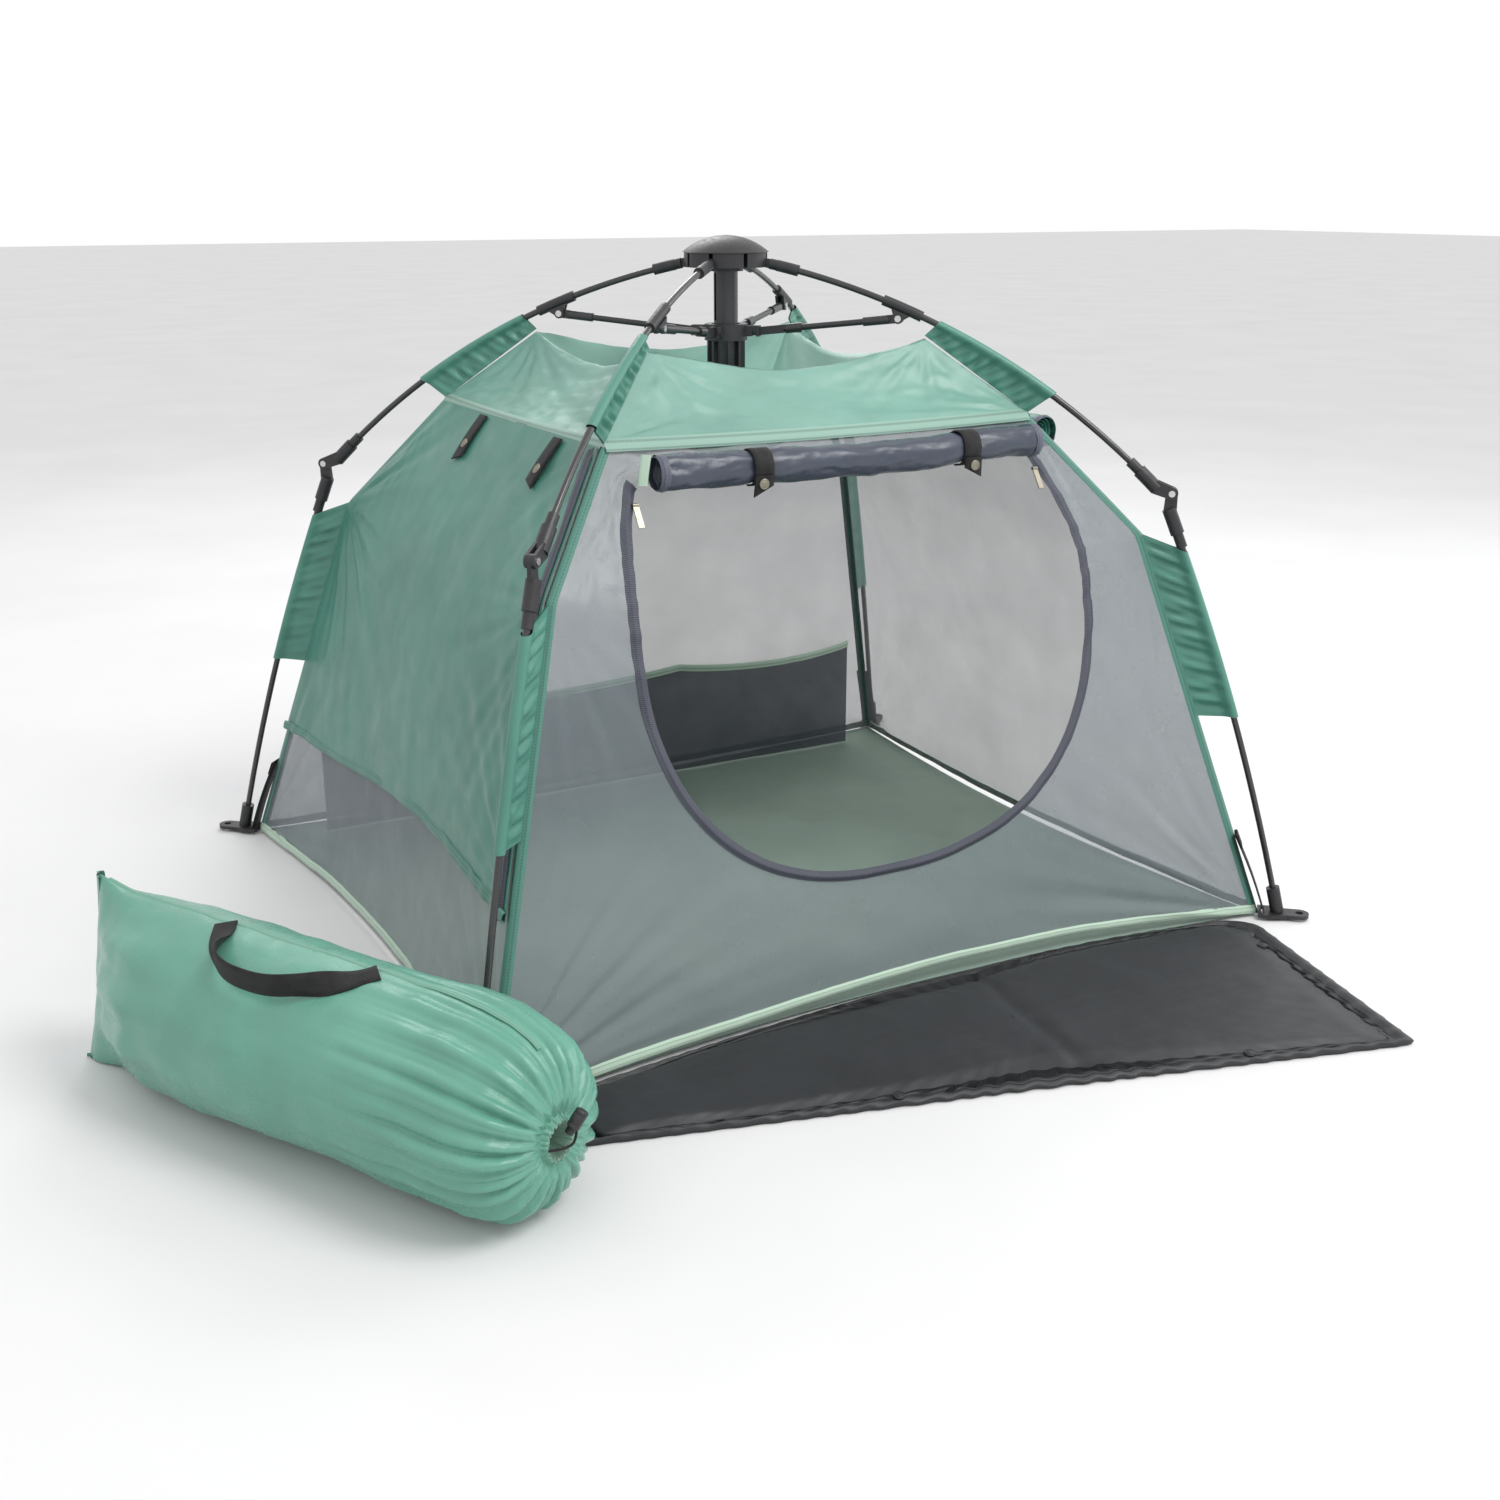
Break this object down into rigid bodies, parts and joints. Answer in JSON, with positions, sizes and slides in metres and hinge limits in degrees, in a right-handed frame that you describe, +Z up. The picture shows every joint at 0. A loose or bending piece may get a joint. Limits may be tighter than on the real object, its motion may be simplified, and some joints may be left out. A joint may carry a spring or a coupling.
{
  "type": "pop up tent",
  "caption": "Small pop up tent on an umbrella-hub frame with knee-jointed poles, mesh walls, rolled door and sun covers, padded mat and drawstring carry bag.",
  "frame": {"origin": "on the ground, under the hub's axis, at the middle of the floor sheet's underside", "axes": "+Z up, the door faces -Y, +X to the right when facing away from the door"},
  "size_m": [1.4464, 1.3418, 0.849],
  "materials": {
    "fibreglass_pole": "satin black fibreglass",
    "black_plastic": "moulded black nylon",
    "rivet_steel": "bright steel",
    "strut_black": "satin black",
    "hub_plastic": "moulded black nylon",
    "black_tube": "black coated tube",
    "roof_cloth": "pale green coated polyester",
    "cover_cloth": "green coated polyester",
    "sleeve_cloth": "green coated polyester",
    "mesh": "sheer grey no-see-um mesh",
    "floor_cloth": "light green coated polyester",
    "door_cloth": "slate satin",
    "webbing": "black woven webbing",
    "pocket_mesh": "dark mesh",
    "zip_tape": "slate zip tape",
    "zip_metal": "nickel",
    "mat_cloth": "charcoal padded polyester",
    "bag_cloth": "green coated polyester",
    "cord_lock_plastic": "black",
    "cord_black": "braided black cord"
  },
  "bodies": {
    "root": {"crown_hub": "hub_plastic", "crown_tube": "black_tube", "roof_panel": "roof_cloth", "front_mesh_wall": "mesh", "back_mesh_wall": "mesh", "left_mesh_wall": "mesh", "right_mesh_wall": "mesh", "left_sun_cover": "cover_cloth", "floor_sheet": "floor_cloth", "pole_sleeves": "sleeve_cloth", "rolled_panels": "door_cloth", "webbing_straps": "webbing", "storage_pocket": "pocket_mesh", "zippers": "zip_tape"},
    "arm_front_left": {"front_left_upper_pole": "fibreglass_pole", "front_left_crown_fitting": "black_plastic", "front_left_strut_bracket": "black_plastic", "front_left_knee_upper": "black_plastic", "front_left_rivets": "rivet_steel"},
    "leg_front_left": {"front_left_lower_pole": "fibreglass_pole", "front_left_knee_lower": "black_plastic", "front_left_foot": "black_plastic"},
    "strut_front_left": {"front_left_strut": "strut_black"},
    "arm_front_right": {"front_right_upper_pole": "fibreglass_pole", "front_right_crown_fitting": "black_plastic", "front_right_strut_bracket": "black_plastic", "front_right_knee_upper": "black_plastic", "front_right_rivets": "rivet_steel"},
    "leg_front_right": {"front_right_lower_pole": "fibreglass_pole", "front_right_knee_lower": "black_plastic", "front_right_foot": "black_plastic"},
    "strut_front_right": {"front_right_strut": "strut_black"},
    "arm_back_left": {"back_left_upper_pole": "fibreglass_pole", "back_left_crown_fitting": "black_plastic", "back_left_strut_bracket": "black_plastic", "back_left_knee_upper": "black_plastic", "back_left_rivets": "rivet_steel"},
    "leg_back_left": {"back_left_lower_pole": "fibreglass_pole", "back_left_knee_lower": "black_plastic", "back_left_foot": "black_plastic"},
    "strut_back_left": {"back_left_strut": "strut_black"},
    "arm_back_right": {"back_right_upper_pole": "fibreglass_pole", "back_right_crown_fitting": "black_plastic", "back_right_strut_bracket": "black_plastic", "back_right_knee_upper": "black_plastic", "back_right_rivets": "rivet_steel"},
    "leg_back_right": {"back_right_lower_pole": "fibreglass_pole", "back_right_knee_lower": "black_plastic", "back_right_foot": "black_plastic"},
    "strut_back_right": {"back_right_strut": "strut_black"},
    "runner": {"runner": "hub_plastic", "outer_tube": "black_tube"},
    "slide_rod": {"slide_rod": "black_tube"},
    "mat": {"padded_mat": "mat_cloth"},
    "bag": {"carry_bag": "bag_cloth", "bag_handle": "webbing", "bag_cord_lock": "cord_lock_plastic", "bag_drawcord": "cord_black"},
    "zip_pull_left": {"door_zip_pull_left": "zip_metal"},
    "zip_pull_right": {"door_zip_pull_right": "zip_metal"}
  },
  "joints": [
    {"name": "frame_fold", "type": "hinge", "parent": "root", "child": "arm_front_left", "pos_m": [-0.03144, -0.02784, 0.818], "axis": [0.6629, -0.7487, 0], "range_deg": [0, 56], "deforming": ["roof_panel", "front_mesh_wall", "back_mesh_wall", "left_mesh_wall", "right_mesh_wall", "left_sun_cover", "floor_sheet", "pole_sleeves", "rolled_panels", "webbing_straps", "storage_pocket", "zippers", "carry_bag", "bag_handle"]},
    {"name": "crown_hinge_front_right", "type": "hinge", "parent": "root", "child": "arm_front_right", "pos_m": [0.03144, -0.02784, 0.818], "axis": [0.6629, 0.7487, 0], "range_deg": [0, 56]},
    {"name": "crown_hinge_back_left", "type": "hinge", "parent": "root", "child": "arm_back_left", "pos_m": [-0.03144, 0.02784, 0.818], "axis": [-0.6629, -0.7487, 0], "range_deg": [0, 56]},
    {"name": "crown_hinge_back_right", "type": "hinge", "parent": "root", "child": "arm_back_right", "pos_m": [0.03144, 0.02784, 0.818], "axis": [-0.6629, 0.7487, 0], "range_deg": [0, 56]},
    {"name": "knee_hinge_front_left", "type": "hinge", "parent": "arm_front_left", "child": "leg_front_left", "pos_m": [-0.42076, -0.37256, 0.548], "axis": [-0.6629, 0.7487, 0], "range_deg": [0, 203]},
    {"name": "knee_hinge_front_right", "type": "hinge", "parent": "arm_front_right", "child": "leg_front_right", "pos_m": [0.42076, -0.37256, 0.548], "axis": [-0.6629, -0.7487, 0], "range_deg": [0, 203]},
    {"name": "knee_hinge_back_left", "type": "hinge", "parent": "arm_back_left", "child": "leg_back_left", "pos_m": [-0.42076, 0.37256, 0.548], "axis": [0.6629, 0.7487, 0], "range_deg": [0, 203]},
    {"name": "knee_hinge_back_right", "type": "hinge", "parent": "arm_back_right", "child": "leg_back_right", "pos_m": [0.42076, 0.37256, 0.548], "axis": [0.6629, -0.7487, 0], "range_deg": [0, 203]},
    {"name": "strut_hinge_front_left", "type": "hinge", "parent": "arm_front_left", "child": "strut_front_left", "pos_m": [-0.16373, -0.14498, 0.75127], "axis": [-0.6629, 0.7487, 0], "range_deg": [0, 125.07]},
    {"name": "strut_hinge_front_right", "type": "hinge", "parent": "arm_front_right", "child": "strut_front_right", "pos_m": [0.16373, -0.14498, 0.75127], "axis": [-0.6629, -0.7487, 0], "range_deg": [0, 125.07]},
    {"name": "strut_hinge_back_left", "type": "hinge", "parent": "arm_back_left", "child": "strut_back_left", "pos_m": [-0.16373, 0.14498, 0.75127], "axis": [0.6629, 0.7487, 0], "range_deg": [0, 125.07]},
    {"name": "strut_hinge_back_right", "type": "hinge", "parent": "arm_back_right", "child": "strut_back_right", "pos_m": [0.16373, 0.14498, 0.75127], "axis": [0.6629, -0.7487, 0], "range_deg": [0, 125.07]},
    {"name": "runner_slide", "type": "slide", "parent": "root", "child": "runner", "axis": [0, 0, -1], "range_m": [0, 0.2741]},
    {"name": "telescope_slide", "type": "slide", "parent": "root", "child": "slide_rod", "axis": [0, 0, -1], "range_m": [0, 0.174]},
    {"name": "mat_slide", "type": "slide", "parent": "root", "child": "mat", "axis": [-0.268, -0.9634, 0], "range_m": [0, 0.25]},
    {"name": "bag_lift", "type": "slide", "parent": "root", "child": "bag", "axis": [0, 0, 1], "range_m": [0, 0.3]},
    {"name": "door_pull_left_swing", "type": "hinge", "parent": "root", "child": "zip_pull_left", "pos_m": [-0.27, -0.2974, 0.58], "axis": [-1, 0, 0], "range_deg": [0, 150]},
    {"name": "door_pull_right_swing", "type": "hinge", "parent": "root", "child": "zip_pull_right", "pos_m": [0.266, -0.2974, 0.58], "axis": [-1, 0, 0], "range_deg": [0, 150]}
  ],
  "couplings": [
    {"joint": "crown_hinge_front_right", "follows": "frame_fold", "ratio": 1},
    {"joint": "crown_hinge_back_left", "follows": "frame_fold", "ratio": 1},
    {"joint": "crown_hinge_back_right", "follows": "frame_fold", "ratio": 1},
    {"joint": "knee_hinge_front_left", "follows": "frame_fold", "ratio": 3.625},
    {"joint": "knee_hinge_front_right", "follows": "frame_fold", "ratio": 3.625},
    {"joint": "knee_hinge_back_left", "follows": "frame_fold", "ratio": 3.625},
    {"joint": "knee_hinge_back_right", "follows": "frame_fold", "ratio": 3.625},
    {"joint": "strut_hinge_front_left", "follows": "frame_fold", "ratio": 2.2334},
    {"joint": "strut_hinge_front_right", "follows": "frame_fold", "ratio": 2.2334},
    {"joint": "strut_hinge_back_left", "follows": "frame_fold", "ratio": 2.2334},
    {"joint": "strut_hinge_back_right", "follows": "frame_fold", "ratio": 2.2334},
    {"joint": "runner_slide", "follows": "frame_fold", "m_per_rad": 0.28044},
    {"joint": "telescope_slide", "follows": "frame_fold", "m_per_rad": 0.17803}
  ]
}
